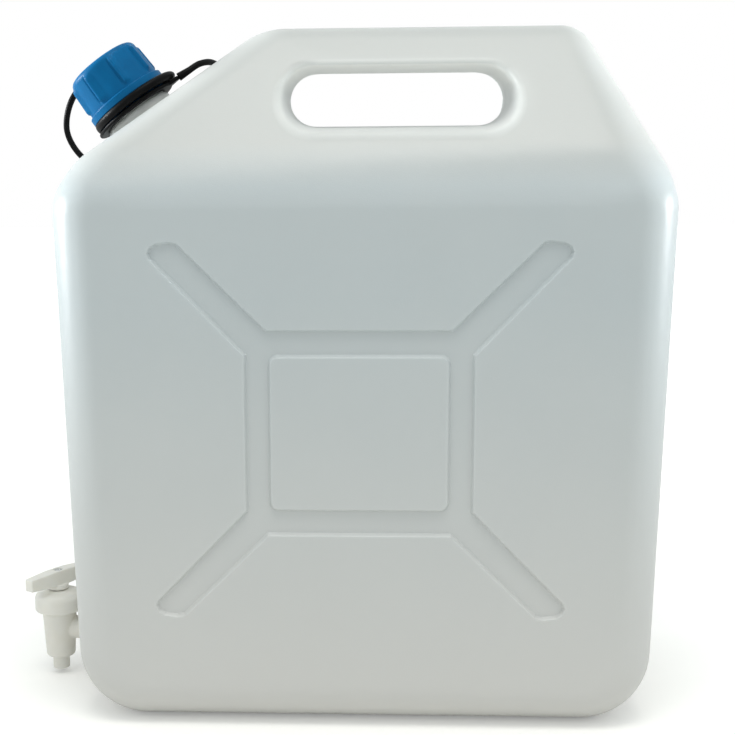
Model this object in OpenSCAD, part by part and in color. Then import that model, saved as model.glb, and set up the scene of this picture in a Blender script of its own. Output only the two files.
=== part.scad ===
// Twenty-litre water jerry can with a screw cap on a tether and a quarter-turn drain tap.
// Blow-moulded can, origin at the centre of its base, +X along the width, -Y at the front.

/* [Can] */
// Width of the can across its shoulders
body_w = 365; // [355:1:375]
// Depth of the can from front wall to back wall
body_d = 172; // [166:1:176]
// Height from the base to the top of the grip
body_h = 419.5; // [415:0.5:424]
// Wall thickness of the blow moulding
wall = 2.5; // [2:0.1:3]
// How much narrower each side is at the base than at the shoulders
side_draft = 6.4; // [4:0.1:8]
// Height at which the front and back walls start to lean towards the grip
shoulder_z = 311; // [308:1:314]
// Height of the middle of the pressed cross on the front and back
cross_z = 182; // [178:1:186]
// Depth of the pressed cross
cross_depth = 2.4; // [1.5:0.1:3]

/* [Grip] */
// Length of the hand slot
slot_len = 133; // [125:1:135]
// Height of the hand slot
slot_h = 32; // [30:1:34]
// Distance of the slot's middle to the right of the centre
slot_x = 21.5; // [18:0.5:24]
// Height of the slot's middle
slot_z = 376.5; // [374:0.5:378]

/* [Filler] */
// Tilt of the filler neck towards the left side
filler_tilt = 36.5; // [36:0.1:37]
// Place of the filler neck along the width
filler_x = -137; // [-138:0.5:-135]
// Height at which the neck leaves the slope
filler_z = 364.6; // [364:0.1:365]
// Outer radius of the neck under its thread
neck_r = 22.8; // [22.6:0.1:23]
// Length of the neck from the slope to its rim
neck_len = 40.2; // [39.8:0.1:40.6]
// Pitch of the filler thread
thread_pitch = 6; // [5.8:0.1:6.2]
// Number of grip ribs round the cap
cap_ribs = 8; // [6:1:10]

/* [Tap] */
// Distance of the tap's upright axis from the centre of the can
tap_x = 204; // [203:0.1:205]
// Height of the tap's inlet axis
tap_z = 31; // [31:0.1:32]
// Length of the lever bar
lever_len = 54; // [48:1:54]
// Direction of the closed lever, measured from +X
lever_angle = 235; // [230:1:237]

/* [Hidden] */
fine = 96;
coarse = 40;
through = 400;

// Can outline: one rounded element per corner, as
// [x, z, outline radius, edge radius, half depth].
outline_r = 43;
edge_r = 26;
crown_r = 20;
grip_half_d = 25;
brow_r = 28;
brow_l_r = 45;
brow_r_r = 22;
half_w = body_w / 2;
half_d = body_d / 2;
shoulder_half_d = half_d - 8;
base_x = half_w - side_draft - outline_r;
OUTLINE = [
    [-base_x, outline_r, outline_r, edge_r, half_d],
    [base_x, outline_r, outline_r, edge_r, half_d],
    [brow_r - half_w, shoulder_z, brow_r, edge_r, half_d],
    [half_w - brow_r, shoulder_z, brow_r, edge_r, half_d],
    [outline_r - half_w, shoulder_z - 2, outline_r, edge_r, shoulder_half_d],
    [half_w - outline_r, shoulder_z + 3, outline_r, edge_r, shoulder_half_d],
    [-47.5, body_h - brow_l_r, brow_l_r, crown_r, grip_half_d],
    [120, body_h - brow_r_r, brow_r_r, crown_r, grip_half_d]
];

// Pressed cross: half sizes of its centre pad, its ring channel and its four arms.
cross_x = -1.5;
pad_half = [52.3, 46];
pad_corner_r = 6;
ring_side = [66.3, 46.7];
ring_end = [53.9, 60.7];
arm_outer = [121.7, 104.2];
arm_inner = [105.7, 112];
arm_corner = [119.5, 109.5];

// Filler neck: lengths are measured along its axis from the slope.
neck_core_r = 20.6;
neck_bore_r = 18.4;
neck_crest_r = 22.4;
collar_len = 7.2;
neck_root = 2.5;
ridge_root_w = 2.8;
ridge_crest_w = 1.2;
thread_start = 26;
thread_turns = 1.5;

// Screw cap.
skirt_from = 10;
flange_from = 15.2;
flange_to = 19.6;
flange_r = 26.6;
skirt_r = 24.9;
crown_side_r = 23.8;
cap_top = 45.4;
cap_corner_r = 4;
cap_inner_r = 23;
cap_inner_crest_r = 21.2;
cap_inner_top = 42.5;
bead_r = 25.6;
rib_r = 1.6;
rib_offset = 25;
rib_from = 22.5;
rib_to = 40;

// Tether: a ring under the cap, a ring on the neck and the strap between them.
ring_from = 10;
ring_to = 15;
ring_r = 30.2;
ring_shift = 3;
ring_round = 2.4;
ring_bore_r = 25.2;
ring_mouth_r = 26;
neck_ring_from = 7.3;
neck_ring_to = 9.6;
neck_ring_r = 28;
neck_ring_bore_r = 21;
strap_d = 4;
strap_z = 8.45;
cap_lug_angle = 106;
lug_end_r = 32.9;
neck_lug_end_r = 34;

// Route of the strap, from the ring on the neck round behind the shoulder to the cap's ring.
STRAP_ROUTE = [
    [-114.7, 0, 391.6], [-109, 1.5, 395.3], [-102, 8, 400.3], [-95.5, 21, 401.5], [-91.5, 41, 396.5],
    [-99.5, 63, 378.5], [-117, 76, 358], [-139, 82, 344.5], [-168, 77, 335.5],
    [-188, 63, 340.5], [-197.5, 48, 360], [-190.5, 42, 383], [-174, 48, 394],
    [-160, 54.5, 389.5], [-152.7, 53.8, 378], [-152, 45, 370.5], [-151.9, 32.3, 369.2]
];

// Drain tap.
boss_face_x = 179;
boss_r = 17;
boss_bore_r = 11.5;
boss_depth = 18;
tail_core_r = 9.8;
tail_crest_r = 11;
tail_pitch = 3;
gasket_t = 2.2;
tap_flange_r = 13.6;
tap_flange_t = 6;
inlet_r = 7.6;
inlet_bore_r = 4.5;
barrel_top_r = 11.4;
barrel_foot_r = 9.5;
barrel_foot_z = 11.7;
barrel_head_r = 12.4;
barrel_head_z = 44.8;
barrel_top_z = 49.2;
nozzle_r = 5.6;
nozzle_bore_r = 3.6;
nozzle_z = 2.6;
plug_r = 7.45;
plug_bore_r = 7.5;
plug_foot_z = 14.2;
plug_top_z = 48.8;
port_r = 4;
outlet_r = 3.6;
seal_r = 0.9;
spindle_r = 3.9;
spindle_top_z = 63.2;
square_w = 5.4;
bonnet_r = 15.9;
bonnet_foot_z = 43.8;
bonnet_side_z = 52.2;
bonnet_top_z = 57.6;
bonnet_crown_r = 8;
bonnet_bore_r = 12.7;
bonnet_roof_z = 52.6;
lever_foot_z = 58.2;
lever_bar_z = 61;
lever_top_z = 71.4;
lever_hub_r = 6.6;
lever_t = 9;
lever_tip_t = 6.4;
screw_head_r = 3;
screw_shank_r = 1.4;

function arc_points(c, r, from, to, step = 15) =
    [for (a = [from : step : to]) [c[0] + r * cos(a), c[1] + r * sin(a)]];

// Half section of one outline element, from its axis outwards.
function element_half(r, edge, half) = concat(
    [[0, -half]],
    arc_points([r - edge, edge - half], edge, -90, 0),
    arc_points([r - edge, half - edge], edge, 0, 90),
    [[0, half]]
);

// One ring of a thread ridge, at an angle round the axis.
function ridge_ring(angle, z, r_root, r_crest, root_w, crest_w) = [
    for (p = [[r_root, -root_w / 2], [r_crest, -crest_w / 2],
              [r_crest, crest_w / 2], [r_root, root_w / 2]])
        [p[0] * cos(angle), p[0] * sin(angle), z + p[1]]
];

// Faces of a tube swept through rings of `sides` points each.
function sweep_faces(rings, sides, flip) = concat(
    [for (i = [0 : rings - 2], j = [0 : sides - 1])
        let (k = (j + 1) % sides,
             quad = [i * sides + j, i * sides + k, (i + 1) * sides + k, (i + 1) * sides + j])
        flip ? [quad[3], quad[2], quad[1], quad[0]] : quad],
    [[for (j = [0 : sides - 1]) flip ? j : sides - 1 - j]],
    [[for (j = [0 : sides - 1])
        (rings - 1) * sides + (flip ? sides - 1 - j : j)]]
);

// Helical ridge; r_crest larger than r_root makes an outer thread, smaller an inner one.
module thread_ridge(r_root, r_crest, pitch, z_start, turns, root_w, crest_w, steps = 32) {
    rings = round(turns * steps) + 1;
    points = [for (i = [0 : rings - 1])
        each ridge_ring(i * 360 / steps, z_start + i * pitch / steps,
                        r_root, r_crest, root_w, crest_w)];
    polyhedron(points, sweep_faces(rings, 4, r_crest < r_root), convexity = 8);
}

// Points and directions of the strap's smooth route.
function catmull(a, b, c, d, t) =
    0.5 * (2 * b + (c - a) * t + (2 * a - 5 * b + 4 * c - d) * t * t
           + (3 * b - a - 3 * c + d) * t * t * t);
function route_point(route, i, t) =
    let (n = len(route) - 1,
         before = i == 0 ? 2 * route[0] - route[1] : route[i - 1],
         after = i + 2 > n ? 2 * route[n] - route[n - 1] : route[i + 2])
    catmull(before, route[i], route[i + 1], after, t);
function unit(v) = v / norm(v);

// Frame of the filler neck: local x runs up the slope, local z out along the neck.
module on_filler() {
    translate([filler_x, 0, filler_z])
        rotate([0, -filler_tilt, 0])
            children();
}

// Frame of the tap's inlet: local z runs from the can outwards to the left.
module on_inlet(x) {
    translate([-x, 0, tap_z])
        rotate([0, -90, 0])
            children();
}

module on_tap_axis() {
    translate([-tap_x, 0, 0])
        children();
}

// Smooth convex form of the can, set in by a given amount.
module can_form(inset) {
    hull()
        for (e = OUTLINE)
            translate([e[0], 0, e[1]])
                rotate([90, 0, 0])
                    rotate_extrude($fn = coarse)
                        polygon(element_half(e[2] - inset, e[3] - inset, e[4] - inset));
}

module stadium(length, height, depth) {
    span = length / 2 - height / 2;
    rotate([90, 0, 0]) {
        for (side = [-1, 1])
            translate([side * span, 0, 0])
                cylinder(h = depth, r = height / 2, center = true, $fn = fine);
        cube([2 * span, height, depth], center = true);
    }
}

module hand_slot(margin) {
    translate([slot_x, 0, slot_z])
        stadium(slot_len + 2 * margin, slot_h + 2 * margin, through);
}

// One quarter of the pressed cross, mirrored to the other three.
module cross_quarter() {
    polygon([[0, 0], [ring_side[0], 0], ring_side, arm_outer, arm_corner, arm_inner,
             ring_end, [0, ring_end[1]]]);
}

module cross_outline() {
    difference() {
        for (side = [0, 1], end = [0, 1])
            mirror([side, 0])
                mirror([0, end])
                    cross_quarter();
        square([2 * pad_half[0], 2 * pad_half[1] - 2 * pad_corner_r], center = true);
        square([2 * pad_half[0] - 2 * pad_corner_r, 2 * pad_half[1]], center = true);
        for (side = [-1, 1], end = [-1, 1])
            translate([side * (pad_half[0] - pad_corner_r), end * (pad_half[1] - pad_corner_r)])
                circle(r = pad_corner_r, $fn = coarse);
    }
}

// The cross as a slab that reaches a given depth under the front and back walls.
module cross_slabs(depth) {
    for (face = [-1, 1])
        translate([cross_x, face * (half_d - depth / 2 + 1), cross_z])
            rotate([90, 0, 0])
                linear_extrude(height = depth + 2, center = true)
                    cross_outline();
}

module can_shell() {
    difference() {
        can_form(0);
        difference() {
            can_form(wall);
            hand_slot(wall);
            cross_slabs(cross_depth + wall);
        }
        hand_slot(0);
        cross_slabs(cross_depth);
    }
}

module can_body() {
    color("#C9D0CE")
        difference() {
            can_shell();
            on_filler()
                translate([0, 0, -neck_root - 10])
                    cylinder(h = neck_root + 20, r = neck_r, $fn = fine);
            on_inlet(boss_face_x)
                translate([0, 0, -boss_depth - 10])
                    cylinder(h = boss_depth + 20, r = boss_r, $fn = fine);
        }
}

// Moulded neck of the can: a plain collar, then a thinner tube with the thread.
module filler_neck() {
    color("#CDD4D2")
        on_filler()
            difference() {
                union() {
                    translate([0, 0, -neck_root])
                        cylinder(h = neck_root + collar_len, r = neck_r, $fn = fine);
                    cylinder(h = neck_len, r = neck_core_r, $fn = fine);
                    thread_ridge(neck_core_r - 0.4, neck_crest_r, thread_pitch, thread_start,
                                 thread_turns, ridge_root_w, ridge_crest_w);
                }
                translate([0, 0, -neck_root - 1])
                    cylinder(h = neck_root + neck_len + 2, r = neck_bore_r, $fn = fine);
            }
}

// Moulded socket low on the left side, which the tap's tail screws into.
module tap_boss() {
    color("#CDD4D2")
        on_inlet(boss_face_x)
            washer(-boss_depth, 0, boss_r, boss_bore_r);
}

module screw_cap() {
    rib_lean = atan((skirt_r - crown_side_r) / (cap_top - flange_to));
    color("#0A63B0")
        on_filler() {
            difference() {
                union() {
                    rotate_extrude($fn = fine)
                        polygon(concat(
                            [[0, skirt_from], [bead_r, skirt_from], [bead_r, skirt_from + 0.8],
                             [skirt_r, skirt_from + 1.4], [skirt_r, flange_from],
                             [flange_r, flange_from], [flange_r, flange_to - 0.5],
                             [flange_r - 0.5, flange_to], [skirt_r, flange_to]],
                            arc_points([crown_side_r - cap_corner_r, cap_top - cap_corner_r],
                                       cap_corner_r, 0, 90),
                            [[0, cap_top]]));
                    for (i = [0 : cap_ribs - 1])
                        rotate(i * 360 / cap_ribs + rib_offset)
                            translate([skirt_r - 0.9, 0, rib_from])
                                rotate([0, -rib_lean, 0])
                                    cylinder(h = rib_to - rib_from, r = rib_r, $fn = 24);
                }
                translate([0, 0, skirt_from - 1])
                    cylinder(h = cap_inner_top - skirt_from + 1, r = cap_inner_r, $fn = fine);
            }
            thread_ridge(cap_inner_r + 0.4, cap_inner_crest_r, thread_pitch,
                         thread_start - thread_pitch / 2, thread_turns,
                         ridge_root_w, ridge_crest_w);
        }
}

module washer(from, to, outer, inner) {
    translate([0, 0, from])
        difference() {
            cylinder(h = to - from, r = outer, $fn = fine);
            translate([0, 0, -1])
                cylinder(h = to - from + 2, r = inner, $fn = fine);
        }
}

module cap_seal() {
    color("#E4E4E0")
        on_filler()
            washer(neck_len + 0.2, cap_inner_top, cap_inner_r - 0.2, 15);
}

// Ring under the cap's flange, wider on the side that faces up the slope.
module cap_ring() {
    color("#151515")
        on_filler()
            difference() {
                union() {
                    translate([ring_shift, 0, 0])
                        rotate_extrude($fn = fine)
                            polygon(concat(
                                [[0, ring_from]],
                                arc_points([ring_r - ring_round, ring_from + ring_round],
                                           ring_round, -90, 0),
                                arc_points([ring_r - ring_round, ring_to - ring_round],
                                           ring_round, 0, 90),
                                [[0, ring_to]]));
                    rotate(cap_lug_angle)
                        translate([ring_r - 3, -2.5, ring_from + 0.2])
                            cube([lug_end_r - ring_r + 3, 5, ring_to - ring_from - 0.4]);
                }
                rotate_extrude($fn = fine)
                    polygon([[0, ring_from - 1], [ring_mouth_r, ring_from - 1],
                             [ring_mouth_r, ring_from + 1.1], [ring_bore_r, ring_from + 1.9],
                             [ring_bore_r, ring_to + 1], [0, ring_to + 1]]);
            }
}

module neck_ring() {
    color("#1B1B1B")
        on_filler() {
            washer(neck_ring_from, neck_ring_to, neck_ring_r, neck_ring_bore_r);
            translate([neck_ring_r - 1, -3, strap_z - 1.15])
                cube([neck_lug_end_r - neck_ring_r + 1, 6, 2.3]);
        }
}

// The strap is swept with a section that stays square to the route.
module tether_strap() {
    sides = 8;
    per_span = 2;
    spans = len(STRAP_ROUTE) - 1;
    path = concat(
        [for (i = [0 : spans - 1], s = [0 : per_span - 1])
            route_point(STRAP_ROUTE, i, s / per_span)],
        [STRAP_ROUTE[spans]]);
    last = len(path) - 1;
    points = [for (i = [0 : last])
        let (along = unit(path[min(i + 1, last)] - path[max(i - 1, 0)]),
             side = unit(cross(along, [0, 0.35, 1])),
             up = cross(side, along))
        for (j = [0 : sides - 1])
            path[i] + strap_d / 2 * (cos(j * 360 / sides) * side + sin(j * 360 / sides) * up)];
    color("#101010")
        polyhedron(points, sweep_faces(last + 1, sides, false), convexity = 8);
}

module tap_body() {
    flange_x = boss_face_x + gasket_t;
    color("#E9EAE4")
        difference() {
            union() {
                on_tap_axis() {
                    translate([0, 0, barrel_foot_z])
                        cylinder(h = barrel_head_z - barrel_foot_z, r1 = barrel_foot_r,
                                 r2 = barrel_top_r, $fn = fine);
                    translate([0, 0, barrel_head_z])
                        cylinder(h = barrel_top_z - barrel_head_z, r = barrel_head_r, $fn = fine);
                    translate([0, 0, nozzle_z])
                        cylinder(h = barrel_foot_z - nozzle_z + 1, r = nozzle_r, $fn = fine);
                }
                on_inlet(flange_x)
                    cylinder(h = tap_flange_t, r = tap_flange_r, $fn = fine);
                on_inlet(boss_face_x - boss_depth + 1) {
                    cylinder(h = tap_x - boss_face_x + boss_depth - 1, r = inlet_r, $fn = fine);
                    cylinder(h = boss_depth + gasket_t, r = tail_core_r, $fn = fine);
                    thread_ridge(tail_core_r - 0.3, tail_crest_r, tail_pitch, 2, 3, 1.4, 0.7);
                }
            }
            on_tap_axis() {
                translate([0, 0, plug_foot_z])
                    cylinder(h = barrel_top_z - plug_foot_z + 1, r = plug_bore_r, $fn = fine);
                translate([0, 0, nozzle_z - 1])
                    cylinder(h = plug_foot_z - nozzle_z + 2, r = nozzle_bore_r, $fn = fine);
            }
            on_inlet(boss_face_x - boss_depth - 1)
                cylinder(h = tap_x - boss_face_x + boss_depth + 1, r = inlet_bore_r, $fn = fine);
        }
}

module tap_gasket() {
    color("#2A2A2A")
        on_inlet(boss_face_x)
            washer(0, gasket_t, tap_flange_r - 0.4, boss_bore_r);
}

// Hollow plug with one side port, turned by the lever from closed to open.
module tap_plug() {
    groove_zs = [plug_foot_z + 5, plug_top_z - 5];
    color("#F0F0EA")
        on_tap_axis()
            difference() {
                union() {
                    translate([0, 0, plug_foot_z + 0.3])
                        cylinder(h = plug_top_z - plug_foot_z - 0.3, r = plug_r, $fn = fine);
                    translate([0, 0, plug_top_z - 1])
                        cylinder(h = lever_foot_z - plug_top_z + 1, r = spindle_r, $fn = fine);
                    translate([-square_w / 2, -square_w / 2, lever_foot_z - 0.5])
                        cube([square_w, square_w, spindle_top_z - lever_foot_z + 0.5]);
                }
                translate([0, 0, plug_foot_z - 1])
                    cylinder(h = tap_z + port_r - plug_foot_z + 1, r = outlet_r, $fn = fine);
                translate([0, 0, tap_z])
                    rotate([90, 0, 0])
                        cylinder(h = plug_r + 1, r = port_r, $fn = fine);
                for (z = groove_zs)
                    translate([0, 0, z - seal_r])
                        difference() {
                            cylinder(h = 2 * seal_r, r = plug_r + 1, $fn = fine);
                            translate([0, 0, -1])
                                cylinder(h = 2 * seal_r + 2, r = plug_bore_r - 2 * seal_r,
                                         $fn = fine);
                        }
                translate([0, 0, spindle_top_z - 9])
                    cylinder(h = 10, r = screw_shank_r, $fn = 24);
            }
}

module plug_seal(z) {
    color("#222222")
        on_tap_axis()
            translate([0, 0, z])
                rotate_extrude($fn = fine)
                    translate([plug_bore_r - seal_r - 0.03, 0])
                        circle(r = seal_r - 0.03, $fn = 20);
}

module plug_seal_lower() plug_seal(plug_foot_z + 5);

module plug_seal_upper() plug_seal(plug_top_z - 5);

// Domed cap that holds the plug down in the barrel.
module tap_bonnet() {
    color("#E6E7E0")
        on_tap_axis()
            difference() {
                rotate_extrude($fn = fine)
                    polygon(concat(
                        [[0, bonnet_foot_z], [bonnet_r - 1, bonnet_foot_z],
                         [bonnet_r, bonnet_foot_z + 1]],
                        [for (a = [0 : 15 : 90])
                            [bonnet_crown_r + (bonnet_r - bonnet_crown_r) * cos(a),
                             bonnet_side_z + (bonnet_top_z - bonnet_side_z) * sin(a)]],
                        [[0, bonnet_top_z]]));
                translate([0, 0, barrel_head_z])
                    cylinder(h = bonnet_roof_z - barrel_head_z, r = bonnet_bore_r, $fn = fine);
                translate([0, 0, bonnet_foot_z - 1])
                    cylinder(h = 3, r = barrel_top_r + 0.3, $fn = fine);
                translate([0, 0, bonnet_foot_z])
                    cylinder(h = 20, r = spindle_r + 0.05, $fn = fine);
            }
}

// Bar handle on a short round hub, pushed on the spindle's square.
module tap_lever() {
    tip = lever_len / 2 - lever_tip_t / 2;
    color("#E9EAE4")
        on_tap_axis()
            difference() {
                union() {
                    translate([0, 0, lever_foot_z])
                        cylinder(h = lever_top_z - lever_foot_z - 0.4, r = lever_hub_r, $fn = fine);
                    rotate(lever_angle)
                        translate([0, 0, lever_bar_z])
                            linear_extrude(height = lever_top_z - lever_bar_z)
                                hull() {
                                    circle(r = lever_t / 2, $fn = 32);
                                    for (end = [-1, 1])
                                        translate([end * tip, 0])
                                            circle(r = lever_tip_t / 2, $fn = 32);
                                }
                }
                translate([-square_w / 2 - 0.05, -square_w / 2 - 0.05, lever_foot_z - 1])
                    cube([square_w + 0.1, square_w + 0.1, spindle_top_z - lever_foot_z + 1.2]);
                translate([0, 0, spindle_top_z])
                    cylinder(h = 20, r = screw_shank_r + 0.2, $fn = 24);
                translate([0, 0, lever_top_z - 2.2])
                    cylinder(h = 5, r = screw_head_r + 0.2, $fn = fine);
            }
}

module lever_screw() {
    color("#B8BABC")
        on_tap_axis() {
            translate([0, 0, spindle_top_z - 7])
                cylinder(h = lever_top_z - spindle_top_z + 5, r = screw_shank_r, $fn = 24);
            translate([0, 0, lever_top_z - 2.2])
                cylinder(h = 1.8, r = screw_head_r, $fn = fine);
        }
}

can_body();
filler_neck();
tap_boss();
screw_cap();
cap_seal();
cap_ring();
neck_ring();
tether_strap();
tap_body();
tap_gasket();
tap_plug();
plug_seal_upper();
plug_seal_lower();
tap_bonnet();
tap_lever();
lever_screw();
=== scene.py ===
"""A twenty-litre blow-moulded water can with a tethered screw cap and a drain tap.

Everything is in metres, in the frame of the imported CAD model: origin at the centre of the
base, +X along the width, -Y towards the front, +Z up. Lengths named here are in millimetres
until they are multiplied by MM.
"""
import math

import bmesh
import bpy
import numpy as np
from mathutils import Matrix, Vector


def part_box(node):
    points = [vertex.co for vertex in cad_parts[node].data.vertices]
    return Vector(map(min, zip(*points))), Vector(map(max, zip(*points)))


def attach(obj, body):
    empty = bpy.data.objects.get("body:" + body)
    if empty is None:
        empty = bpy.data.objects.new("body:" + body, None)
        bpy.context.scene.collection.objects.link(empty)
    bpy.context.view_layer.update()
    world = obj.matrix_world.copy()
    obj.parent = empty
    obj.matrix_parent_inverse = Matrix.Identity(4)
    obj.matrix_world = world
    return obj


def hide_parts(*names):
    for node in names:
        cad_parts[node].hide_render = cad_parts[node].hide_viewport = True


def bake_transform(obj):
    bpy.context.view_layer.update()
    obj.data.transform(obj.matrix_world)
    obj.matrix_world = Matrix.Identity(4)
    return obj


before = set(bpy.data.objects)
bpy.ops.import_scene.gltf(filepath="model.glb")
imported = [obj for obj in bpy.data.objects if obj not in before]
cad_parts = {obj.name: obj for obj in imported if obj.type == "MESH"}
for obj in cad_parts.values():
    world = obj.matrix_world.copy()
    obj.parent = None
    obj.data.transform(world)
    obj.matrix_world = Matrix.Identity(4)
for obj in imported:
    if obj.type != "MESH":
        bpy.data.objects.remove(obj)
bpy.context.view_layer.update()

MM = 0.001
SCENE = bpy.context.scene

# ---------------------------------------------------------------- camera

CAMERA_PLACE = Vector((0.0059, -0.8280, 0.3395))
CAMERA_YAW = 2.87
CAMERA_PITCH = 9.89
CAMERA_ROLL = 0.43
CAMERA_LENS = 63.67
CAMERA_SHIFT = (0.0816, 0.0272)


def add_camera():
    """Camera at the photograph's viewing angle, a little to the right of the can's middle."""
    data = bpy.data.cameras.new("camera")
    data.lens = CAMERA_LENS
    data.sensor_width = 36
    data.shift_x, data.shift_y = CAMERA_SHIFT
    camera = bpy.data.objects.new("camera", data)
    turn = (Matrix.Rotation(math.radians(CAMERA_YAW), 4, "Z")
            @ Matrix.Rotation(math.radians(90 - CAMERA_PITCH), 4, "X")
            @ Matrix.Rotation(math.radians(-CAMERA_ROLL), 4, "Z"))
    camera.matrix_world = Matrix.Translation(CAMERA_PLACE) @ turn
    SCENE.collection.objects.link(camera)
    SCENE.camera = camera


add_camera()

# ---------------------------------------------------------------- mesh helpers


def as_object(name, verts, faces):
    """A smooth-shaded object from corner points and faces."""
    mesh = bpy.data.meshes.new(name)
    mesh.from_pydata([tuple(v) for v in verts], [], [tuple(f) for f in faces])
    mesh.validate()
    mesh.update()
    mesh.polygons.foreach_set("use_smooth", [True] * len(mesh.polygons))
    obj = bpy.data.objects.new(name, mesh)
    SCENE.collection.objects.link(obj)
    return obj


def outward(obj):
    """Turns every face of a closed mesh outwards."""
    bm = bmesh.new()
    bm.from_mesh(obj.data)
    bmesh.ops.recalc_face_normals(bm, faces=bm.faces)
    bm.to_mesh(obj.data)
    bm.free()
    return obj


def rounded(corners, steps=6):
    """Closed outline from (x, y, radius) corners, with support points beside every arc."""
    points = []
    count = len(corners)
    for i, (x, y, radius) in enumerate(corners):
        here = np.array((x, y), float)
        back = np.array(corners[i - 1][:2], float) - here
        ahead = np.array(corners[(i + 1) % count][:2], float) - here
        if radius <= 0:
            points.append(tuple(here))
            continue
        back /= np.linalg.norm(back)
        ahead /= np.linalg.norm(ahead)
        half = math.acos(max(-1, min(1, float(back @ ahead)))) / 2
        reach = radius / math.tan(half)
        middle = (back + ahead) / np.linalg.norm(back + ahead)
        centre = here + middle * radius / math.sin(half)
        first = here + back * reach - centre
        last = here + ahead * reach - centre
        support = 0.15 * radius
        points.append(tuple(centre + first + back * support))
        for k in range(steps + 1):
            mix = first * (1 - k / steps) + last * (k / steps)
            points.append(tuple(centre + mix / np.linalg.norm(mix) * radius))
        points.append(tuple(centre + last + ahead * support))
    return points


def lathe(name, profile, place=Matrix(), segments=144, closed=True, relief=None):
    """Turns a profile of (radius, height) in mm about local z.

    A closed profile makes a ring; an open one starts and ends on the axis. relief(angle,
    radius, height) may move the radius of each point.
    """
    verts, rows = [], []
    for radius, height in profile:
        if radius < 1e-6:
            rows.append([len(verts)] * segments)
            verts.append((0, 0, height))
            continue
        row = []
        for i in range(segments):
            angle = 2 * math.pi * i / segments
            out = relief(angle, radius, height) if relief else radius
            row.append(len(verts))
            verts.append((out * math.cos(angle), out * math.sin(angle), height))
        rows.append(row)
    faces = []
    pairs = len(rows) if closed else len(rows) - 1
    for j in range(pairs):
        low, high = rows[j], rows[(j + 1) % len(rows)]
        for i in range(segments):
            k = (i + 1) % segments
            corners = [low[i], low[k], high[k], high[i]]
            face = [c for n, c in enumerate(corners) if c not in corners[:n]]
            if len(face) > 2:
                faces.append(face)
    verts = [place @ (Vector(v) * MM) for v in verts]
    return outward(as_object(name, verts, faces))


def prism_lathe(name, corners, place, segments=96):
    """Solid of revolution whose outline is given by its outer corners (radius, z, round)."""
    low, high = corners[0][1], corners[-1][1]
    outline = rounded([(0, low, 0)] + list(corners) + [(0, high, 0)])
    return lathe(name, outline, place, segments, closed=False)


def prism(name, outline, low, high, place=Matrix()):
    """Straight prism over a closed outline in mm, from low to high along local z."""
    count = len(outline)
    verts = [(x, y, z) for z in (low, high) for x, y in outline]
    faces = [list(range(count))[::-1], list(range(count, 2 * count))]
    faces += [[i, (i + 1) % count, count + (i + 1) % count, count + i] for i in range(count)]
    verts = [place @ (Vector(v) * MM) for v in verts]
    return outward(as_object(name, verts, faces))


def circle(radius, centre=(0, 0), steps=96):
    return [(centre[0] + radius * math.cos(2 * math.pi * i / steps),
             centre[1] + radius * math.sin(2 * math.pi * i / steps)) for i in range(steps)]


def tube(name, path, radius_at, sides=16):
    """Round tube along points in metres; radius_at(share of the way) is in metres."""
    path = [Vector(p) for p in path]
    last = len(path) - 1
    verts, faces = [], []
    side = None
    for i, point in enumerate(path):
        along = (path[min(i + 1, last)] - path[max(i - 1, 0)]).normalized()
        if side is None:
            side = along.orthogonal().normalized()
        side = (side - along * side.dot(along)).normalized()
        up = along.cross(side)
        radius = radius_at(i / last)
        for k in range(sides):
            turn = 2 * math.pi * k / sides
            verts.append(point + radius * (math.cos(turn) * side + math.sin(turn) * up))
    for i in range(last):
        for k in range(sides):
            n = (k + 1) % sides
            faces.append([i * sides + k, i * sides + n, (i + 1) * sides + n,
                          (i + 1) * sides + k])
    faces.append(list(range(sides))[::-1])
    faces.append([last * sides + k for k in range(sides)])
    return outward(as_object(name, verts, faces))


def smooth_path(points, per_span):
    """Points of the smooth curve through a given route."""
    pts = [np.array(p, float) for p in points]
    pts = [2 * pts[0] - pts[1]] + pts + [2 * pts[-1] - pts[-2]]
    out = []
    for i in range(1, len(pts) - 2):
        a, b, c, d = pts[i - 1:i + 3]
        for k in range(per_span):
            t = k / per_span
            out.append(0.5 * (2 * b + (c - a) * t + (2 * a - 5 * b + 4 * c - d) * t * t
                              + (3 * b - a - 3 * c + d) * t ** 3))
    out.append(pts[-2])
    return out


def apply_modifiers(obj):
    """Bakes an object's modifiers into its mesh."""
    graph = bpy.context.evaluated_depsgraph_get()
    mesh = bpy.data.meshes.new_from_object(obj.evaluated_get(graph))
    obj.modifiers.clear()
    obj.data = mesh
    mesh.polygons.foreach_set("use_smooth", [True] * len(mesh.polygons))
    return obj


def remove(obj):
    bpy.data.objects.remove(obj, do_unlink=True)


def combine(base, other, operation):
    """Adds or cuts another closed object, which is used up."""
    mod = base.modifiers.new("combine", "BOOLEAN")
    mod.operation = operation
    mod.solver = "MANIFOLD"
    mod.object = other
    apply_modifiers(base)
    remove(other)
    return base


def join(name, parts):
    """One object from several, with their meshes side by side."""
    verts, faces = [], []
    for part in parts:
        start = len(verts)
        verts += [v.co.copy() for v in part.data.vertices]
        faces += [[start + i for i in p.vertices] for p in part.data.polygons]
        remove(part)
    return as_object(name, verts, faces)


def remesh(obj, size, smoothing):
    """Melts overlapping closed parts into one skin with soft moulded corners."""
    mod = obj.modifiers.new("skin", "REMESH")
    mod.mode = "VOXEL"
    mod.voxel_size = size * MM
    if smoothing:
        soften(obj, smoothing)
    return apply_modifiers(obj)


def soften(obj, iterations, group=""):
    mod = obj.modifiers.new("soften", "SMOOTH")
    mod.factor = 0.5
    mod.iterations = iterations
    mod.vertex_group = group


def corner_array(obj):
    co = np.empty(len(obj.data.vertices) * 3)
    obj.data.vertices.foreach_get("co", co)
    return co.reshape(-1, 3)


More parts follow.
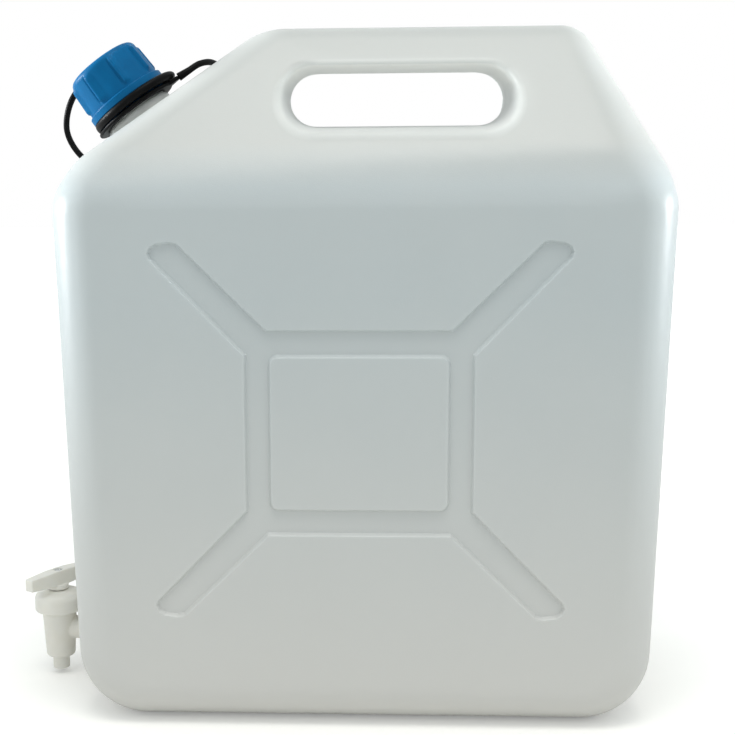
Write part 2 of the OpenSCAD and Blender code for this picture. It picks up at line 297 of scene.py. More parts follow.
def weight_group(obj, name, weights):
    """Vertex group from an array of weights, in twenty steps."""
    group = obj.vertex_groups.new(name=name)
    steps = np.round(weights * 20).astype(int)
    for step in range(1, 21):
        members = np.nonzero(steps == step)[0]
        if len(members):
            group.add(members.tolist(), step / 20, "REPLACE")


def ramp(value, low, high):
    """Smooth step from 0 at low to 1 at high."""
    t = np.clip((value - low) / (high - low), 0, 1)
    return t * t * (3 - 2 * t)


# ---------------------------------------------------------------- frames of the fittings

FILLER_TILT = 36.5
FILLER_FOOT = Vector((-137, 0, 364.6)) * MM
ON_FILLER = Matrix.Translation(FILLER_FOOT) @ Matrix.Rotation(math.radians(-FILLER_TILT), 4, "Y")

plug_low, plug_high = (Vector(c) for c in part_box("tap_plug"))
TAP_X = (plug_low.x + plug_high.x) / 2
INLET_Z = 31 * MM
ON_TAP = Matrix.Translation((TAP_X, 0, 0))
BOSS_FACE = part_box("tap_boss")[0][0]
ON_INLET = (Matrix.Translation((BOSS_FACE, 0, INLET_Z))
            @ Matrix.Rotation(math.radians(-90), 4, "Y"))

# ---------------------------------------------------------------- can

can_high = Vector(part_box("can_body")[1]) / MM
HALF_W = can_high.x
HALF_D = can_high.y
TOP_Z = can_high.z
DRAFT = 6.4
SHOULDER_Z = 311
CORNER_R = 43
EDGE_R = 26
CROWN_R = 20
GRIP_HALF_D = 25
BROW_R = 28
BROW_LEFT_R = 45
BROW_RIGHT_R = 22
BASE_X = HALF_W - DRAFT - CORNER_R

# Rounded discs whose common skin is the can: x, z, radius, edge radius, half depth.
OUTLINE = [
    (-BASE_X, CORNER_R, CORNER_R, EDGE_R, HALF_D),
    (BASE_X, CORNER_R, CORNER_R, EDGE_R, HALF_D),
    (BROW_R - HALF_W, SHOULDER_Z, BROW_R, EDGE_R, HALF_D),
    (HALF_W - BROW_R, SHOULDER_Z, BROW_R, EDGE_R, HALF_D),
    (CORNER_R - HALF_W, SHOULDER_Z - 2, CORNER_R, EDGE_R, HALF_D - 8),
    (HALF_W - CORNER_R, SHOULDER_Z + 3, CORNER_R, EDGE_R, HALF_D - 8),
    (-47.5, TOP_Z - BROW_LEFT_R, BROW_LEFT_R, CROWN_R, GRIP_HALF_D),
    (120, TOP_Z - BROW_RIGHT_R, BROW_RIGHT_R, CROWN_R, GRIP_HALF_D),
]

SLOT_X, SLOT_Z = 21.5, 376.5
SLOT_LEN, SLOT_H = 133, 32
SLOT_FLARE = 0.07

CROSS_X, CROSS_Z = -1.5, 182
CROSS_DEPTH = 2.4
CROSS_WALL = 2.1
PAD_HALF = (52.3, 46)
PAD_CORNER_R = 5
# One quarter of the pressed cross, mirrored to the other three.
CROSS_QUARTER = [(66.3, 0), (66.3, 46.7), (120.3, 102.7), (121.2, 105.6), (119.9, 108.6),
                 (116.6, 110.6), (109, 111.7), (105, 111), (53.9, 60.7), (0, 60.7)]

NECK_R = 22.8
NECK_BORE_R = 18.4
COLLAR_LEN = 7.2
NECK_LEN = 40.2
BOSS_R = 17
SEAM_RISE = 0.2
SEAM_WIDTH = 0.55
SHELL_VOXEL = 1.6


def can_form():
    """Smooth convex form of the can."""
    around, across = 144, 16
    bm = bmesh.new()
    for x, z, radius, edge, half in OUTLINE:
        for i in range(around):
            turn = 2 * math.pi * i / around
            for k in range(across + 1):
                lean = math.pi / 2 * k / across
                reach = radius - edge + edge * math.cos(lean)
                y = half - edge + edge * math.sin(lean)
                for face in (-1, 1):
                    bm.verts.new(Vector((x + reach * math.cos(turn), face * y,
                                         z + reach * math.sin(turn))) * MM)
    hull = bmesh.ops.convex_hull(bm, input=bm.verts)
    inner = [v for v in hull["geom_interior"] if isinstance(v, bmesh.types.BMVert)]
    loose = [v for v in bm.verts if not v.link_faces]
    bmesh.ops.delete(bm, geom=list({*inner, *loose}), context="VERTS")
    bmesh.ops.recalc_face_normals(bm, faces=bm.faces)
    mesh = bpy.data.meshes.new("can_shell")
    bm.to_mesh(mesh)
    bm.free()
    obj = bpy.data.objects.new("can_shell", mesh)
    SCENE.collection.objects.link(obj)
    return obj


def polygon_distance(points, corners):
    """Signed distance of points to a closed polygon, negative inside."""
    corners = np.array(corners, float)
    best = np.full(len(points), 1e9)
    inside = np.zeros(len(points), bool)
    for i in range(len(corners)):
        a, b = corners[i - 1], corners[i]
        along = b - a
        share = np.clip((points - a) @ along / (along @ along), 0, 1)
        best = np.minimum(best, np.linalg.norm(points - a - share[:, None] * along, axis=1))
        straddles = (a[1] > points[:, 1]) != (b[1] > points[:, 1])
        rise = b[1] - a[1] if b[1] != a[1] else 1e-9
        cross_x = a[0] + (points[:, 1] - a[1]) * along[0] / rise
        inside ^= straddles & (points[:, 0] < cross_x)
    return np.where(inside, -best, best)


def cross_distance(x, z):
    """Signed distance in mm to the pressed cross round its pad, negative in the channel."""
    points = np.abs(np.column_stack([x - CROSS_X, z - CROSS_Z]))
    side, end = CROSS_QUARTER[0][0], CROSS_QUARTER[-1][1]
    outer = polygon_distance(points, [(-9, -9), (side, -9)] + CROSS_QUARTER[1:-1]
                             + [(-9, end)])
    corner = np.maximum(points - (np.array(PAD_HALF) - PAD_CORNER_R), 0)
    pad = np.linalg.norm(corner, axis=1) - PAD_CORNER_R
    inner = np.minimum(np.max(points - np.array(PAD_HALF), axis=1), 0)
    pad = np.where(np.all(points < np.array(PAD_HALF) - PAD_CORNER_R, axis=1), inner, pad)
    return np.maximum(outer, -pad)


def slot_distance(x, z):
    """Distance in mm from the edge of the hand slot, negative in the opening."""
    reach = SLOT_LEN / 2 - SLOT_H / 2
    along = np.clip(x - SLOT_X, -reach, reach)
    return np.hypot(x - SLOT_X - along, z - SLOT_Z) - SLOT_H / 2


def refine(obj, wanted, times):
    """Splits the edges whose two ends satisfy wanted(corner array in mm)."""
    for _ in range(times):
        keep = wanted(corner_array(obj) / MM)
        bm = bmesh.new()
        bm.from_mesh(obj.data)
        edges = [e for e in bm.edges if keep[e.verts[0].index] and keep[e.verts[1].index]]
        bmesh.ops.subdivide_edges(bm, edges=edges, cuts=1, use_grid_fill=True)
        bm.to_mesh(obj.data)
        bm.free()


def in_neck_frame(co):
    """Corner array in mm, as seen from the neck's own frame."""
    return (co - np.array(FILLER_FOOT / MM)) @ np.array(ON_FILLER.to_3x3())


def slot_cutter():
    """The opening of the hand slot, narrowest half way through the can."""
    reach = SLOT_LEN / 2 - SLOT_H / 2
    steps = 48
    verts = []
    for y in (-120, 0, 120):
        radius = SLOT_H / 2 + SLOT_FLARE * abs(y)
        for end in (1, -1):
            for i in range(steps + 1):
                turn = math.pi * (i / steps - 0.5) + (0 if end > 0 else math.pi)
                verts.append(Vector((SLOT_X + end * reach + radius * math.cos(turn), y,
                                     SLOT_Z + radius * math.sin(turn))) * MM)
    count = len(verts) // 3
    faces = [list(range(count))[::-1], list(range(2 * count, 3 * count))]
    for ring in (0, count):
        for i in range(count):
            k = (i + 1) % count
            faces.append([ring + i, ring + k, ring + count + k, ring + count + i])
    return outward(as_object("slot", verts, faces))


def make_can():
    """Blow-moulded shell with its slot, pressed crosses, neck collar and tap socket."""
    shell = can_form()
    combine(shell, prism("collar", circle(NECK_R), -8, COLLAR_LEN, ON_FILLER), "UNION")
    combine(shell, prism("boss", circle(BOSS_R), -25, 0, ON_INLET), "UNION")
    combine(shell, slot_cutter(), "DIFFERENCE")
    combine(shell, prism("bore", circle(NECK_BORE_R + 0.2), -25, 30, ON_FILLER), "DIFFERENCE")
    remesh(shell, SHELL_VOXEL, 0)

    co = corner_array(shell) / MM
    gap = slot_distance(co[:, 0], co[:, 2]) - SLOT_FLARE * np.abs(co[:, 1])
    lip = ramp(np.abs(co[:, 1]), 8, 20)
    weight_group(shell, "slot", (1 - ramp(np.abs(gap), 4, 15)) * lip)
    local = in_neck_frame(co)
    radial = np.hypot(local[:, 0], local[:, 1])
    foot = (radial > 20.5) & (local[:, 2] > -4) & (local[:, 2] < 8)
    weight_group(shell, "foot", foot * (1 - ramp(radial, 26, 30)))
    lean = ramp(co[:, 2], 313, 322) * (1 - ramp(co[:, 2], 346, 362))
    lean *= (1 - ramp(np.abs(co[:, 0]), 120, 150)) * ramp(np.abs(co[:, 1]), 30, 40)
    weight_group(shell, "lean", lean)
    soften(shell, 5)
    soften(shell, 150, "lean")
    soften(shell, 60, "slot")
    soften(shell, 6, "foot")
    apply_modifiers(shell)
    shell.vertex_groups.clear()

    def near_cross(reach):
        def wanted(c):
            away = np.abs(cross_distance(c[:, 0], c[:, 2]))
            return (np.abs(c[:, 1]) > HALF_D - 3) & (away < reach)
        return wanted

    def near_seam(c):
        free = (slot_distance(c[:, 0], c[:, 2]) > 6) & (c[:, 2] > 20)
        return (np.abs(c[:, 1]) < 2.2) & free

    refine(shell, near_cross(3.4), 2)
    refine(shell, near_cross(1.6), 1)
    refine(shell, near_seam, 2)

    co = corner_array(shell) / MM
    normals = np.empty(len(co) * 3)
    shell.data.vertices.foreach_get("normal", normals)
    normals = normals.reshape(-1, 3)
    away = cross_distance(co[:, 0], co[:, 2])
    wall = np.abs(co[:, 1]) > HALF_D - 6
    press = CROSS_DEPTH * (1 - ramp(away, -CROSS_WALL / 2, CROSS_WALL / 2)) * wall
    local = in_neck_frame(co)
    off_neck = ramp(np.hypot(local[:, 0], local[:, 1]), 23, 25)
    off_boss = ramp(np.hypot(co[:, 1], co[:, 2] - INLET_Z / MM), 18, 20)
    off_boss = np.where(co[:, 0] < 0, off_boss, 1)
    off_slot = ramp(slot_distance(co[:, 0], co[:, 2]), 6, 9)
    seam = SEAM_RISE * np.exp(-(co[:, 1] / SEAM_WIDTH) ** 2) * ramp(co[:, 2], 18, 30)
    seam *= off_neck * off_boss * off_slot
    co[:, 1] -= np.sign(co[:, 1]) * press
    co += normals * seam[:, None]
    co[:, 2] = np.maximum(co[:, 2], 0)
    shell.data.vertices.foreach_set("co", (co * MM).ravel())
    shell.data.update()
    return shell


THREAD_PITCH = 6


def thread(name, root, crest, start, turns, place):
    """Helical ridge with a flat crest, fading in and out at its two ends."""
    steps = 72
    count = int(turns * steps) + 1
    section = [(root, -1.5), (crest, -0.6), (crest, 0.6), (root, 1.5)]
    verts, faces = [], []
    for i in range(count):
        angle = 2 * math.pi * i / steps
        fade = min(1, i / 10, (count - 1 - i) / 10)
        for radius, height in section:
            out = root + (radius - root) * fade
            verts.append(place @ (Vector((out * math.cos(angle), out * math.sin(angle),
                                          start + THREAD_PITCH * i / steps
                                          + height * max(fade, 0.2))) * MM))
    for i in range(count - 1):
        for k in range(4):
            n = (k + 1) % 4
            faces.append([i * 4 + k, i * 4 + n, (i + 1) * 4 + n, (i + 1) * 4 + k])
    faces += [[0, 1, 2, 3], [(count - 1) * 4 + k for k in (3, 2, 1, 0)]]
    return outward(as_object(name, verts, faces))


def make_neck():
    pipe = lathe("pipe", rounded([(NECK_BORE_R, 5, 0), (20.6, 5, 0),
                                  (20.6, NECK_LEN, 0.8), (NECK_BORE_R, NECK_LEN, 0.8)]),
                 ON_FILLER)
    ridge = thread("ridge", 20.3, 22.4, 26, 1.5, ON_FILLER)
    return join("neck_thread", [pipe, ridge])


# ---------------------------------------------------------------- cap, rings and strap

CAP_RIBS = 8
RIB_OFFSET = 25
RIB_RISE = 1.8
RIB_GROOVE = 0.45
RIB_FROM_R, RIB_FROM_Z = 23.6, 20
CAP_TOP = 45.4
CAP_ROOF = 42.5
CAP_BORE_R = 23
SKIRT_R = 24.9
FLANGE_R = 26.6


def cap_relief(angle, radius, height):
    """Grip ribs: a shallow groove and a sharp edge on one side, a soft ramp on the other."""
    if radius < RIB_FROM_R or height < RIB_FROM_Z:
        return radius
    pitch = 360 / CAP_RIBS
    turn = (math.degrees(angle) - RIB_OFFSET + pitch / 2) % pitch - pitch / 2
    across = float(ramp(turn, -7.4, -6.0) * (1 - ramp(turn, -5, 7)))
    along = float(ramp(height, 21.6, 23.4) * (1 - ramp(height, 38.6, 41.8)))
    groove = float(ramp(turn, -11.5, -9.5) * (1 - ramp(turn, -8.6, -7.4)))
    return radius + (RIB_RISE * across - RIB_GROOVE * groove) * along


def make_cap():
    profile = [(0, CAP_TOP), (8, CAP_TOP - 0.1), (15, CAP_TOP - 0.5)]
    corner = rounded([(0, CAP_TOP - 0.8, 0), (23.6, CAP_TOP - 1, 3.8), (SKIRT_R, 19.9, 0.5),
                      (FLANGE_R, 19.6, 0.6), (FLANGE_R, 15.2, 0.5), (SKIRT_R, 15, 0.3),
                      (SKIRT_R, 11.6, 0.3), (25.6, 10.9, 0.3), (25.6, 10, 0.3),
                      (CAP_BORE_R, 10, 0.3), (CAP_BORE_R, CAP_ROOF, 0.6), (0, CAP_ROOF, 0)], 5)
    profile += corner[1:-1]
    fine = []
    for (r0, z0), (r1, z1) in zip(profile, profile[1:]):
        pieces = max(1, int(math.hypot(r1 - r0, z1 - z0) / 1.2))
        fine += [(r0 + (r1 - r0) * i / pieces, z0 + (z1 - z0) * i / pieces)
                 for i in range(pieces)]
    fine += [profile[-1], (0, CAP_ROOF)]
    return lathe("cap_moulding", fine, ON_FILLER, 288, closed=False, relief=cap_relief)


RING_BORE_R = 25.2
RING_R = 30.2
RING_SHIFT = 3
RING_LOW, RING_HIGH = 10, 15
RING_LUG_TURN = 106
RING_VOXEL = 0.4
NECK_RING_R = 28
NECK_RING_LOW, NECK_RING_HIGH = 7.3, 9.6


def ring_relief(angle, radius, _height):
    """Makes the ring's rim a circle whose middle lies a little up the slope."""
    reach = (RING_SHIFT * math.cos(angle)
             + math.sqrt(RING_R ** 2 - (RING_SHIFT * math.sin(angle)) ** 2))
    return radius + max(0, (radius - RING_BORE_R) / (RING_R - RING_BORE_R)) * (reach - RING_R)


def make_cap_ring():
    band = lathe("band", rounded([(RING_BORE_R, 10.6, 0.4), (26, RING_LOW, 0.3),
                                  (RING_R, RING_LOW, 2.3), (RING_R, RING_HIGH, 2.3),
                                  (RING_BORE_R, RING_HIGH, 0.5)]), ON_FILLER,
                 relief=ring_relief)
    turn = Matrix.Rotation(math.radians(RING_LUG_TURN), 4, "Z")
    lug = prism("lug", rounded([(26.5, -3.4, 0), (32.8, -2.4, 1.2), (32.8, 2.4, 1.2),
                                (26.5, 3.4, 0)]), 10.4, 14.6, ON_FILLER @ turn)
    return remesh(join("cap_ring_band", [band, lug]), RING_VOXEL, 4)


def make_neck_ring():
    low, high = NECK_RING_LOW, NECK_RING_HIGH
    band = lathe("band", rounded([(21, low, 0.3), (NECK_RING_R, low, 0.9),
                                  (NECK_RING_R, high, 0.9), (21, high, 0.3)]), ON_FILLER)
    lug = prism("lug", rounded([(25, -5.5, 0), (34, -2.4, 1.5), (34, 2.4, 1.5), (25, 5.5, 0)]),
                low, high, ON_FILLER)
    return remesh(join("neck_ring_band", [band, lug]), RING_VOXEL, 4)


# Route of the strap, the same points as the CAD solid's.
STRAP_ROUTE = [
    (-0.1147, 0, 0.3916), (-0.109, 0.0015, 0.3953), (-0.102, 0.008, 0.4003),
    (-0.0955, 0.021, 0.4015), (-0.0915, 0.041, 0.3965), (-0.0995, 0.063, 0.3785),
    (-0.117, 0.076, 0.358), (-0.139, 0.082, 0.3445), (-0.168, 0.077, 0.3355),
    (-0.188, 0.063, 0.3405), (-0.1975, 0.048, 0.360), (-0.1905, 0.042, 0.383),
    (-0.174, 0.048, 0.394), (-0.160, 0.0545, 0.3895), (-0.1527, 0.0538, 0.378),
    (-0.152, 0.045, 0.3705), (-0.1519, 0.0323, 0.3692),
]
STRAP_D = 0.004
# The strap is a little thicker where it leaves the neck ring's tab.
STRAP_ROOT_RISE = 0.6 * MM
STRAP_ROOT_SHARE = 0.08


strap_path = smooth_path(STRAP_ROUTE, 12)
strap = tube("strap", strap_path,
             lambda share: STRAP_D / 2 + STRAP_ROOT_RISE * max(0, 1 - share / STRAP_ROOT_SHARE))
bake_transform(strap)
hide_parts("tether_strap")

# ---------------------------------------------------------------- tap

BARREL_FOOT_Z, BARREL_TOP_Z = 11.7, 49.2
NOZZLE_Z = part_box("tap_body")[0][2] / MM
BONNET_FOOT_Z, BONNET_TOP_Z = 43.8, 57.6
BONNET_R = 15.9
LEVER_LOW, LEVER_HIGH = 61, 71.2
LEVER_LEN = 51
LEVER_ANGLE = 235
LEVER_TAPER = 0.22
HUB_R = 6.6
TAP_VOXEL = 0.42


def make_tap_body():
    parts = [
        prism_lathe("barrel", [(9.5, BARREL_FOOT_Z, 2), (11.4, 44.8, 0.2),
                               (12.4, 45, 0.2), (12.4, BARREL_TOP_Z, 0.4)], ON_TAP),
        prism_lathe("nozzle", [(5.6, NOZZLE_Z, 0.7), (5.6, 16, 0)], ON_TAP),
        prism_lathe("inlet", [(7.6, -6, 0), (7.6, -(TAP_X - BOSS_FACE) / MM, 0)], ON_INLET),
        prism_lathe("flange", [(13.6, 2.2, 0.8), (13.6, 8.2, 1.4)], ON_INLET),
    ]
    body = remesh(join("tap_moulding", parts), TAP_VOXEL, 5)
    combine(body, prism("outlet", circle(3.6), NOZZLE_Z - 3, 14, ON_TAP), "DIFFERENCE")
    return body


def make_bonnet():
    profile = rounded([(11.7, BONNET_FOOT_Z, 0.4), (BONNET_R, BONNET_FOOT_Z, 1.2),
                       (BONNET_R, BONNET_TOP_Z - 2.4, 4.5), (8, BONNET_TOP_Z, 6),
                       (4, BONNET_TOP_Z, 0.4), (4, 52.6, 0), (12.7, 52.6, 0.3),
                       (12.7, 44.8, 0), (11.7, 44.8, 0)], 8)
    return lathe("tap_bonnet_moulding", profile, ON_TAP, 128)


def make_lever():
    """Squared bar, deepest at its middle, on a short round hub."""
    turn = ON_TAP @ Matrix.Rotation(math.radians(LEVER_ANGLE), 4, "Z")
    half = LEVER_LEN / 2
    bar = prism("bar", rounded([(-half, -3.4, 0.8), (-8, -4.5, 12), (8, -4.5, 12),
                                (half, -3.4, 0.8), (half, 3.4, 0.8), (8, 4.5, 12),
                                (-8, 4.5, 12), (-half, 3.4, 0.8)]),
                LEVER_LOW, LEVER_HIGH, turn)
    hub = prism_lathe("hub", [(HUB_R, 58.2, 0.6), (HUB_R, LEVER_LOW + 0.6, 0)], ON_TAP)
    lever = remesh(join("tap_lever_moulding", [bar, hub]), TAP_VOXEL, 4)
    middle = (LEVER_LOW + LEVER_HIGH) / 2
    for vert in lever.data.vertices:
        local = turn.inverted() @ vert.co / MM
        away = max(0, abs(local.x) - 7) / (half - 7)
        local.z = middle + (local.z - middle) * (1 - LEVER_TAPER * away)
        vert.co = turn @ (local * MM)
    combine(lever, prism("sink", circle(3.3), 69.2, 76, ON_TAP), "DIFFERENCE")
    return lever


def make_screw():
    """Pan-head screw with a cross recess."""
    head = prism_lathe("screw_head", [(1.4, 62, 0), (1.4, 69.2, 0), (3, 69.2, 0.1),
                                      (3, 71, 0.8)], ON_TAP, 64)
    for turn in (20, 110):
        place = ON_TAP @ Matrix.Rotation(math.radians(turn), 4, "Z")
        blade = prism("blade", [(-1.7, -0.35), (1.7, -0.35), (1.7, 0.35), (-1.7, 0.35)],
                      70.1, 73, place)
        combine(head, blade, "DIFFERENCE")
    return head


# ---------------------------------------------------------------- materials


class Nodes:
    """Short hand for a material's node tree round one Principled shader."""

    def __init__(self, name):
        self.material = bpy.data.materials.new(name)
        self.material.use_nodes = True
        self.tree = self.material.node_tree
        self.shader = self.tree.nodes["Principled BSDF"]
        self.place = self.add("ShaderNodeTexCoord").outputs["Object"]

    def add(self, kind, **settings):
        node = self.tree.nodes.new(kind)
        for key, value in settings.items():
            setattr(node, key, value)
        return node

    def wire(self, source, target):
        self.tree.links.new(source, target)

    def noise(self, scale, detail=3, rough=0.5, stretch=None):
        """Noise with the given number of features per metre."""
        place = self.place
        if stretch:
            mapping = self.add("ShaderNodeMapping")
            mapping.inputs["Scale"].default_value = stretch
            self.wire(place, mapping.inputs["Vector"])
            place = mapping.outputs["Vector"]
        node = self.add("ShaderNodeTexNoise")
        node.inputs["Scale"].default_value = scale
        node.inputs["Detail"].default_value = detail
        node.inputs["Roughness"].default_value = rough
        self.wire(place, node.inputs["Vector"])
        return node.outputs["Fac"]

    def cloud(self, scale, detail=3, rough=0.5):
        """Slow variation from 0 to 1."""
        return self.spread(self.noise(scale, detail, rough), 0.35, 0.65, 0, 1)

    def finish(self, grain, roughness, depth, strength, under=None):
        """Lets a fine grain drive the shader's roughness and bump."""
        self.wire(self.spread(grain, 0.3, 0.7, *roughness), self.shader.inputs["Roughness"])
        self.wire(self.bump(grain, depth, strength, under), self.shader.inputs["Normal"])

    def spread(self, value, low, high, to_low, to_high):
        node = self.add("ShaderNodeMapRange")
        for key, number in zip(("From Min", "From Max", "To Min", "To Max"),
                               (low, high, to_low, to_high)):
            node.inputs[key].default_value = number
        self.wire(value, node.inputs["Value"])
        return node.outputs["Result"]

    def math(self, operation, first, second):
        node = self.add("ShaderNodeMath", operation=operation)
        for socket, value in zip(node.inputs, (first, second)):
            if isinstance(value, (int, float)):
                socket.default_value = value
            else:
                self.wire(value, socket)
        return node.outputs["Value"]

    def mix(self, share, first, second):
        node = self.add("ShaderNodeMix", data_type="RGBA")
        for key, colour in (("A", first), ("B", second)):
            socket = [s for s in node.inputs if s.name == key and s.type == "RGBA"][0]
            if isinstance(colour, tuple):
                socket.default_value = (*colour, 1)
            else:
                self.wire(colour, socket)
        self.wire(share, node.inputs["Factor"])
        return [s for s in node.outputs if s.type == "RGBA"][0]

    def bump(self, height, distance, strength=1.0, under=None):
        node = self.add("ShaderNodeBump")
        node.inputs["Strength"].default_value = strength
        node.inputs["Distance"].default_value = distance
        self.wire(height, node.inputs["Height"])
        if under is not None:
            self.wire(under, node.inputs["Normal"])
        return node.outputs["Normal"]

    def set(self, **values):
        for key, value in values.items():
            self.shader.inputs[key.replace("_", " ")].default_value = value


def slot_nearness(n):
    """Node output that is 1 on the walls of the hand slot and 0 away from them, where the can's
    colour carries painted light.
    """
    split = n.add("ShaderNodeSeparateXYZ")
    n.wire(n.place, split.inputs["Vector"])
    reach = (SLOT_LEN / 2 - SLOT_H / 2) * MM
    along = n.math("SUBTRACT", split.outputs["X"], SLOT_X * MM)
    held = n.math("MINIMUM", n.math("MAXIMUM", along, -reach), reach)
    off = n.add("ShaderNodeCombineXYZ")
    n.wire(n.math("SUBTRACT", along, held), off.inputs["X"])
    n.wire(n.math("SUBTRACT", split.outputs["Z"], SLOT_Z * MM), off.inputs["Z"])
    length = n.add("ShaderNodeVectorMath", operation="LENGTH")
    n.wire(off.outputs["Vector"], length.inputs["Vector"])
    flare = n.math("MULTIPLY", n.math("ABSOLUTE", split.outputs["Y"], 0), SLOT_FLARE)
    gap = n.math("SUBTRACT", length.outputs["Value"], flare)
    edge = SLOT_H / 2 * MM
    return n.spread(gap, edge + 0.5 * MM, edge + 5 * MM, 1, 0)


def can_material():
    """Natural polyethylene: milky and softly glossy.

    Its tint changes with height as painted light: painted lighter and warmer towards the base,
    painted shade on the upper part. The hand slot's walls carry painted light: paler, most where
    they face down.
    """
    n = Nodes("natural_polyethylene")
    cloud = n.cloud(14, 3, 0.55)
    streak = n.noise(9, 2, 0.5, (3.0, 3.0, 0.5))
    pale = n.mix(cloud, (0.510, 0.555, 0.563), (0.526, 0.569, 0.575))
    colour = n.mix(n.spread(streak, 0.3, 0.7, 0, 0.5), pale, (0.514, 0.562, 0.574))
    split = n.add("ShaderNodeSeparateXYZ")
    n.wire(n.place, split.inputs["Vector"])
    # Painted light: the colour gets lighter and warmer towards the base, in place of light
    # bounced up from the floor.
    foot = n.spread(split.outputs["Z"], 0, 0.26, 1, 0)
    colour = n.mix(n.math("MULTIPLY", foot, 0.85), colour, (0.665, 0.645, 0.610))
    # Painted shade: the upper part is tinted warmer and a little darker to tone down the top
    # light falling there.
    crest = n.spread(split.outputs["Z"], 0.325, 0.35, 0, 1)
    colour = n.mix(crest, colour, (0.530, 0.545, 0.528))
    # Painted light: the hand slot's walls are painted paler, most where they face down, where
    # shade falls.
    facing = n.add("ShaderNodeSeparateXYZ")
    n.wire(n.add("ShaderNodeNewGeometry").outputs["Normal"], facing.inputs["Vector"])
    under = n.spread(facing.outputs["Z"], -0.2, -0.8, 0, 1)
    painted_slot_light = n.mix(under, (0.70, 0.715, 0.695), (0.90, 0.905, 0.88))
    colour = n.mix(slot_nearness(n), colour, painted_slot_light)
    n.wire(colour, n.shader.inputs["Base Color"])
    grain = n.noise(1500, 2, 0.6)
    ripple = n.noise(55, 2, 0.4)
    n.finish(grain, (0.30, 0.38), 0.00012, 0.35, n.bump(ripple, 0.0009, 0.2))
    n.set(Subsurface_Weight=0.25, Subsurface_Scale=0.006, Specular_IOR_Level=0.4)
    n.shader.inputs["Subsurface Radius"].default_value = (1.0, 1.05, 1.1)
    return n.material


def blue_material():
    n = Nodes("blue_polypropylene")
    cloud = n.cloud(90)
    colour = n.mix(cloud, (0.0003, 0.104, 0.262), (0.0005, 0.118, 0.292))
    n.wire(colour, n.shader.inputs["Base Color"])
    grain = n.noise(2600, 2, 0.6)
    n.finish(grain, (0.36, 0.48), 0.00008, 0.4)
    n.set(Specular_IOR_Level=0.1)
    return n.material


def black_material():
    n = Nodes("black_elastomer")
    cloud = n.cloud(120)
    colour = n.mix(cloud, (0.0015, 0.0015, 0.0018), (0.003, 0.003, 0.0032))
    n.wire(colour, n.shader.inputs["Base Color"])
    grain = n.noise(2200, 3, 0.6)
    n.finish(grain, (0.38, 0.52), 0.0001, 0.4)
    n.set(Specular_IOR_Level=0.1)
    return n.material


def white_material():
    n = Nodes("white_polyacetal")
    cloud = n.cloud(60)
    colour = n.mix(cloud, (0.800, 0.778, 0.715), (0.820, 0.806, 0.752))
    n.wire(colour, n.shader.inputs["Base Color"])
    grain = n.noise(2400, 2, 0.6)
    n.finish(grain, (0.34, 0.46), 0.00008, 0.35)
    n.set(Subsurface_Weight=0.3, Subsurface_Scale=0.004, Specular_IOR_Level=0.4)
    n.shader.inputs["Subsurface Radius"].default_value = (1.0, 0.95, 0.8)
    return n.material


def seal_material(name, dark, light):
    n = Nodes(name)
    cloud = n.cloud(150)
    n.wire(n.mix(cloud, dark, light), n.shader.inputs["Base Color"])
    grain = n.noise(1800, 3, 0.6)
    n.finish(grain, (0.55, 0.75), 0.0001, 0.5)
    return n.material


def steel_material():
    n = Nodes("stainless_steel")
    cloud = n.cloud(400)
    n.wire(n.mix(cloud, (0.50, 0.50, 0.49), (0.60, 0.60, 0.59)), n.shader.inputs["Base Color"])
    lines = n.noise(900, 2, 0.5, (1, 1, 12))
    n.finish(lines, (0.22, 0.38), 0.00003, 0.4)
    n.set(Metallic=1.0)
    return n.material


def floor_material():
    """White paper floor. Its glow grows away from the can, and only the camera sees it."""
    n = Nodes("studio_floor")
    cloud = n.cloud(3)
    n.wire(n.mix(cloud, (0.915, 0.910, 0.880), (0.925, 0.920, 0.890)),
           n.shader.inputs["Base Color"])
    length = n.add("ShaderNodeVectorMath", operation="LENGTH")
    n.wire(n.place, length.inputs["Vector"])
    lift = n.spread(length.outputs["Value"], 0.2, 1.2, 0.2, 0.5)
    seen = n.add("ShaderNodeLightPath").outputs["Is Camera Ray"]
    n.wire(n.math("MULTIPLY", lift, seen), n.shader.inputs["Emission Strength"])
    n.shader.inputs["Emission Color"].default_value = (1, 1, 1, 1)
    n.set(Roughness=0.9, Specular_IOR_Level=0.1)
    return n.material


HDPE = can_material()
BLUE = blue_material()
BLACK = black_material()
WHITE = white_material()
SEAL = seal_material("black_rubber", (0.012, 0.012, 0.012), (0.022, 0.022, 0.022))
PALE_SEAL = seal_material("pale_rubber", (0.62, 0.62, 0.58), (0.70, 0.70, 0.67))
STEEL = steel_material()


def finish_piece(obj, material, body, nodes):
    obj.data.materials.clear()
    obj.data.materials.append(material)
    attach(obj, body)
    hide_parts(*nodes)


strap.data.materials.append(BLACK)
finish_piece(make_can(), HDPE, "root", ["can_body", "tap_boss"])
finish_piece(make_neck(), HDPE, "root", ["filler_neck"])
finish_piece(make_cap(), BLUE, "cap", ["screw_cap"])
finish_piece(make_cap_ring(), BLACK, "cap_carrier", ["cap_ring"])
finish_piece(make_neck_ring(), BLACK, "root", ["neck_ring"])
finish_piece(make_tap_body(), WHITE, "root", ["tap_body"])
finish_piece(make_bonnet(), WHITE, "root", ["tap_bonnet"])
finish_piece(make_lever(), WHITE, "tap_valve", ["tap_lever"])
finish_piece(make_screw(), STEEL, "tap_valve", ["lever_screw"])

for node, material in (("cap_seal", PALE_SEAL), ("tap_gasket", SEAL), ("tap_plug", WHITE),
                       ("plug_seal_upper", SEAL), ("plug_seal_lower", SEAL)):
    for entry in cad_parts[node].material_slots:
        entry.material = material

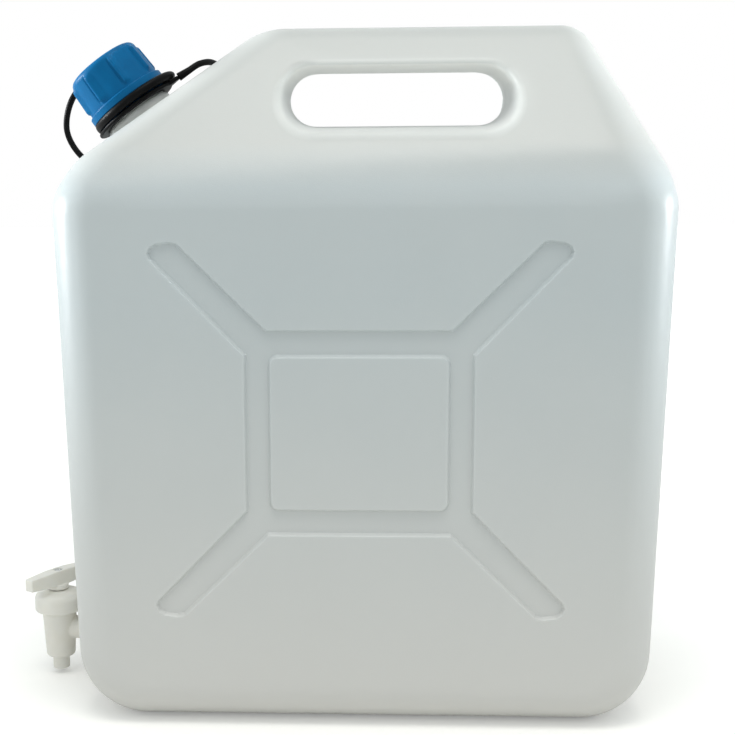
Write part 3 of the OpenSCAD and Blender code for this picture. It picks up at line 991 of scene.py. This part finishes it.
# ---------------------------------------------------------------- stage and light


def make_floor():
    floor = as_object("floor", [(-6, -6, 0), (6, -6, 0), (6, 6, 0), (-6, 6, 0)], [[0, 1, 2, 3]])
    floor.location.z = -0.0005
    floor.data.materials.append(floor_material())


def area_light(name, place, aim, size, power, spread=180, colour=(1, 1, 1)):
    data = bpy.data.lights.new(name, "AREA")
    data.shape = "RECTANGLE"
    data.size, data.size_y = size
    data.energy = power
    data.spread = math.radians(spread)
    data.color = colour
    light = bpy.data.objects.new(name, data)
    light.location = place
    direction = Vector(aim) - Vector(place)
    light.rotation_euler = direction.to_track_quat("-Z", "Y").to_euler()
    SCENE.collection.objects.link(light)


def make_world():
    """Soft cool light all round, in front of a background that the camera sees as white."""
    world = bpy.data.worlds.new("studio")
    world.use_nodes = True
    SCENE.world = world
    tree = world.node_tree
    soft = tree.nodes["Background"]
    soft.inputs["Color"].default_value = (0.94, 0.985, 1, 1)
    soft.inputs["Strength"].default_value = 0.77
    seen = tree.nodes.new("ShaderNodeBackground")
    seen.inputs["Color"].default_value = (1, 1, 1, 1)
    seen.inputs["Strength"].default_value = 1.0
    path = tree.nodes.new("ShaderNodeLightPath")
    mix = tree.nodes.new("ShaderNodeMixShader")
    tree.links.new(path.outputs["Is Camera Ray"], mix.inputs["Fac"])
    tree.links.new(soft.outputs["Background"], mix.inputs[1])
    tree.links.new(seen.outputs["Background"], mix.inputs[2])
    tree.links.new(mix.outputs["Shader"], tree.nodes["World Output"].inputs["Surface"])


make_floor()
make_world()
area_light("top_softbox", (0.05, -0.55, 2.0), (0, -0.1, 0.2), (1.1, 0.6), 12.5,
           colour=(1, 0.985, 0.94))
area_light("left_softbox", (-1.6, 0.1, 0.5), (0, 0, 0.42), (0.5, 0.4), 1.1, 22,
           colour=(0.95, 0.98, 1))
area_light("right_softbox", (1.6, 0.1, 0.5), (0, 0, 0.42), (0.5, 0.4), 0.75, 22,
           colour=(0.95, 0.98, 1))
SCENE.view_settings.view_transform = "Standard"
